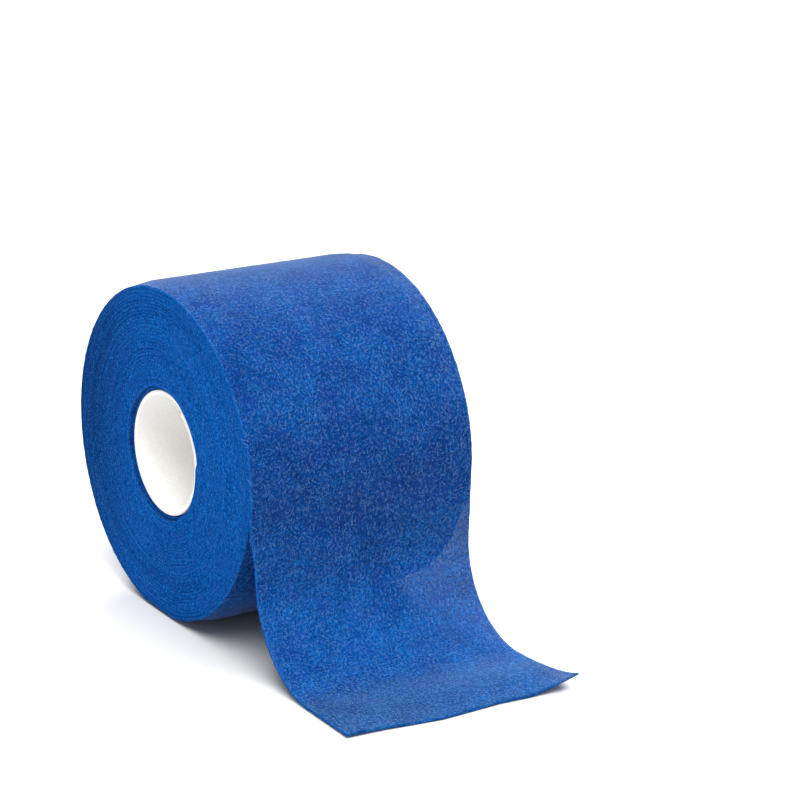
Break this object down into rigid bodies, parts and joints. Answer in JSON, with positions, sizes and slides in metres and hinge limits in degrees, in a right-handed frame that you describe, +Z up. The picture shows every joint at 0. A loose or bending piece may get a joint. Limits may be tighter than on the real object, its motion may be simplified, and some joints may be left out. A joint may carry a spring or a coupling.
{
  "type": "cohesive bandage roll",
  "caption": "Roll of crinkled self-gripping nonwoven bandage on a lapped card core, lying on its rim with its last turn hanging off as a loose tail.",
  "frame": {"origin": "on the surface that the roll lies on, straight under the middle of the roll's axis, on its flat spot", "axes": "+X towards the loose tail, +Y along the roll's axis towards the end face that the tail's pointed corner is on, +Z up"},
  "size_m": [0.1043, 0.05, 0.0664],
  "materials": {
    "blue_nonwoven": "matt blue crinkled nonwoven, lightly napped, a little see-through in one layer",
    "white_card": "matt white paper card, bent round and lapped"
  },
  "bodies": {
    "root": {"bandage": "blue_nonwoven", "core": "white_card"}
  },
  "joints": []
}
